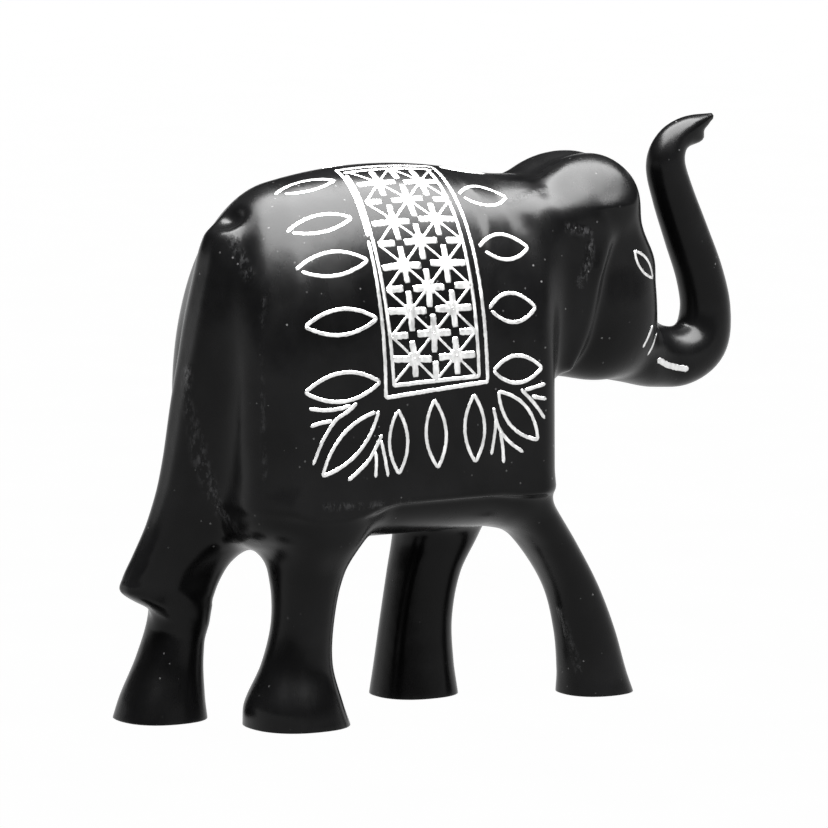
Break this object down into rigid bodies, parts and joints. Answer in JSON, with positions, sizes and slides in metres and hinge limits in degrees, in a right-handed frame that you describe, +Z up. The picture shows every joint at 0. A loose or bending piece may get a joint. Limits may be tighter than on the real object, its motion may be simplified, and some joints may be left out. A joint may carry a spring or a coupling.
{
  "type": "bidri elephant figurine",
  "caption": "Walking elephant figurine with its trunk raised, cast in blackened alloy with a silver-inlaid saddle cloth, standing on its own feet.",
  "frame": {"origin": "on the floor under the middle of the overall box", "axes": "+X towards the head and trunk, +Z up, +Y to the elephant's own left side"},
  "size_m": [0.1258, 0.0422, 0.1059],
  "materials": {
    "blackened_alloy": "blackened zinc alloy, oiled and polished to a satin gloss",
    "silver_inlay": "fine silver wire and sheet hammered in flush and rubbed bright"
  },
  "bodies": {
    "root": {"elephant": "blackened_alloy"}
  },
  "joints": []
}
